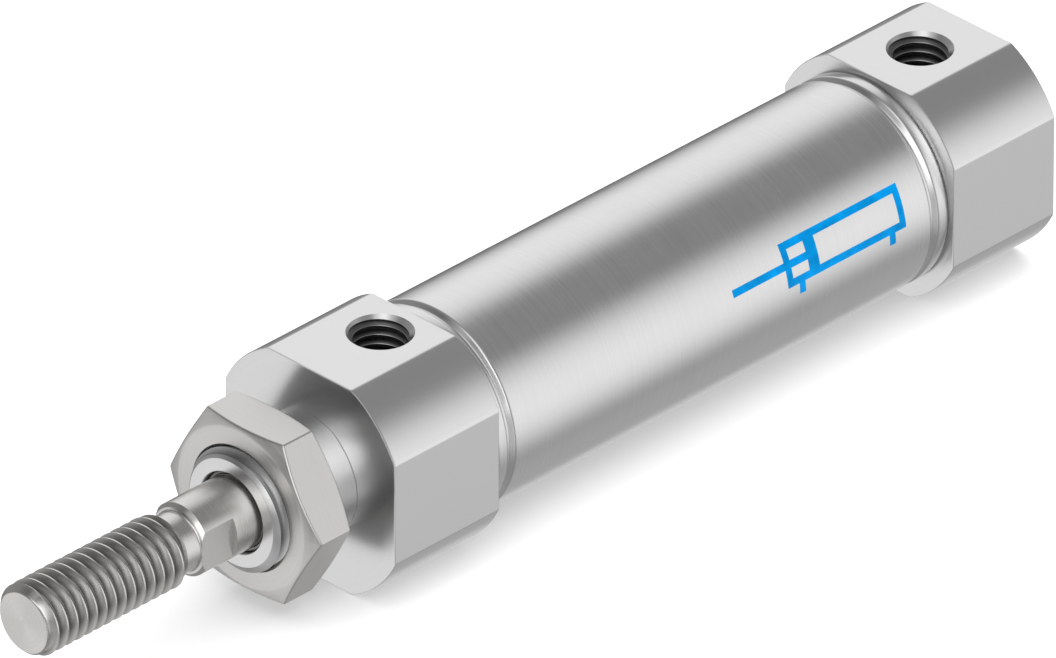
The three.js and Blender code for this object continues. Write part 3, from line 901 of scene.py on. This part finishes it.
INSIDE = {
    "front_barrel_o_ring": seal_rubber,
    "rear_barrel_o_ring": seal_rubber,
    "rod_seal": seal_rubber,
    "front_piston_seal": seal_rubber,
    "rear_piston_seal": seal_rubber,
    "piston_o_ring": seal_rubber,
    "front_bumper": bumper_rubber,
    "rear_bumper": bumper_rubber,
    "rod_bearing_bush": bush_metal,
    "piston_front_half": piston_metal,
    "piston_rear_half": piston_metal,
    "piston_magnet": magnet_ferrite,
    "piston_guide_ring": guide_plastic,
    "piston_nut": nut_metal,
}


def dress_inside():
    for node, material in INSIDE.items():
        mesh = frame["nodes"][node].data
        mesh.materials.clear()
        mesh.materials.append(material)
        mesh.shade_smooth()
        mesh.set_sharp_from_angle(angle=math.radians(CREASE))


# ---- Stage, light and camera

def floor():
    mesh = bpy.data.meshes.new("floor")
    size = 3.0
    corners = [(-size, -size, 0), (size, -size, 0), (size, size, 0), (-size, size, 0)]
    mesh.from_pydata(corners, [], [(0, 1, 2, 3)])
    obj = bpy.data.objects.new("floor", mesh)
    bpy.context.scene.collection.objects.link(obj)
    m = Nodes.named("floor_paper")
    m.shader.inputs["Base Color"].default_value = (0.86, 0.86, 0.86, 1)
    m.shader.inputs["Roughness"].default_value = 0.9
    m.shader.inputs["Specular IOR Level"].default_value = 0.0
    m.shader.inputs["Emission Color"].default_value = (1, 1, 1, 1)
    m.shader.inputs["Emission Strength"].default_value = 0.3
    mesh.materials.append(m.material)
    obj.visible_glossy = False


# Soft boxes round the object: direction, cosine where each begins and where it is full, brightness. They are
# placed against the photo's reflections. Black flags are the same with a brightness below nothing.
SOFT_BOXES = [
    ((-0.6, 0.80, 0.0), 0.69, 1.04, 0.80),
    ((-0.6, -0.68, 0.42), 0.73, 1.00, 0.74),
    ((0.77, 0.15, 0.60), 0.80, 0.98, 0.45),
    ((0.80, 0.50, 0.33), 0.86, 0.98, 1.6),
    ((0.30, 0.25, 0.90), 0.90, 0.99, 0.7),
    ((-0.6, -0.52, -0.60), 0.94, 1.00, 0.40),
    ((0.75, -0.45, -0.52), 0.66, 1.00, 0.63),
    ((-0.6, 0.05, -0.80), 0.74, 1.00, 0.15),
    ((0.68, 0.68, -0.26), 0.86, 1.00, 0.50),
]
BLACK_FLAGS = [
    ((-0.6, -0.76, -0.20), 0.88, 1.00, -0.20),
    ((1.0, 0.10, 0.05), 0.72, 1.00, -0.16),
    ((1.0, 0.0, 0.10), 0.45, 0.90, -0.17),
]
AMBIENT_ABOVE = 0.27
AMBIENT_BELOW = 0.30
AMBIENT_STEP = (-0.3, 0.5)  # height of a direction where the change from below to above begins and ends


def world():
    studio = bpy.data.worlds.new("studio")
    bpy.context.scene.world = studio
    studio.use_nodes = True
    tree = studio.node_tree
    background = next(n for n in tree.nodes if n.type == "BACKGROUND")
    coordinates = tree.nodes.new("ShaderNodeTexCoord")

    def along(direction, start, full, start_value, full_value):
        """How far a view direction goes along another, as a smooth step between two values."""
        dot = tree.nodes.new("ShaderNodeVectorMath")
        dot.operation = "DOT_PRODUCT"
        dot.inputs[1].default_value = Vector(direction).normalized()
        tree.links.new(coordinates.outputs["Generated"], dot.inputs[0])
        step = tree.nodes.new("ShaderNodeMapRange")
        step.interpolation_type = "SMOOTHSTEP"
        tree.links.new(dot.outputs["Value"], step.inputs["Value"])
        limits = {"From Min": start, "From Max": full, "To Min": start_value, "To Max": full_value}
        for name, number in limits.items():
            step.inputs[name].default_value = number
        return step.outputs["Result"]

    total = along((0, 0, 1), *AMBIENT_STEP, AMBIENT_BELOW, AMBIENT_ABOVE)
    for direction, start, full, brightness in SOFT_BOXES + BLACK_FLAGS:
        addition = tree.nodes.new("ShaderNodeMath")
        addition.operation = "ADD"
        tree.links.new(along(direction, start, full, 0.0, brightness), addition.inputs[0])
        tree.links.new(total, addition.inputs[1])
        total = addition.outputs[0]
    tree.links.new(total, background.inputs["Strength"])
    background.inputs["Color"].default_value = (1, 1, 1, 1)


def top_light():
    """A broad overhead light for the floor, kept out of the metal's reflections."""
    lamp = bpy.data.lights.new("overhead", "SUN")
    lamp.energy = 2.6
    lamp.angle = math.radians(90)
    obj = bpy.data.objects.new("overhead", lamp)
    obj.visible_glossy = False
    bpy.context.scene.collection.objects.link(obj)


def camera():
    """Stands two metres off, so the view is nearly parallel, as in a catalogue picture."""
    azimuth = math.radians(134.70)
    elevation = math.radians(31.47)
    distance = 2.0
    aside = 1.827 * MM
    above = 3.011 * MM
    view_width = 79.574 * MM  # at the object
    level = math.cos(elevation)
    back = Vector((math.sin(azimuth) * level, -math.cos(azimuth) * level, math.sin(elevation)))
    right = Vector((math.cos(azimuth), math.sin(azimuth), 0))
    up = back.cross(right)
    lens = bpy.data.cameras.new("camera")
    lens.sensor_width = 36.0
    lens.lens = distance / view_width * lens.sensor_width
    lens.clip_end = 20.0
    obj = bpy.data.objects.new("camera", lens)
    bpy.context.scene.collection.objects.link(obj)
    middle = Vector((0, 0, AXIS_HEIGHT)) + right * aside + up * above
    turn = Matrix((right, up, back)).transposed().to_4x4()
    obj.matrix_world = Matrix.Translation(middle + back * distance) @ turn
    bpy.context.scene.camera = obj


camera()
barrel()
front_cap()
rear_cap()
mounting_nut()
rod()
wiper()
mark()
dress_inside()
floor()
world()
top_light()
bpy.context.scene.view_settings.view_transform = "Standard"
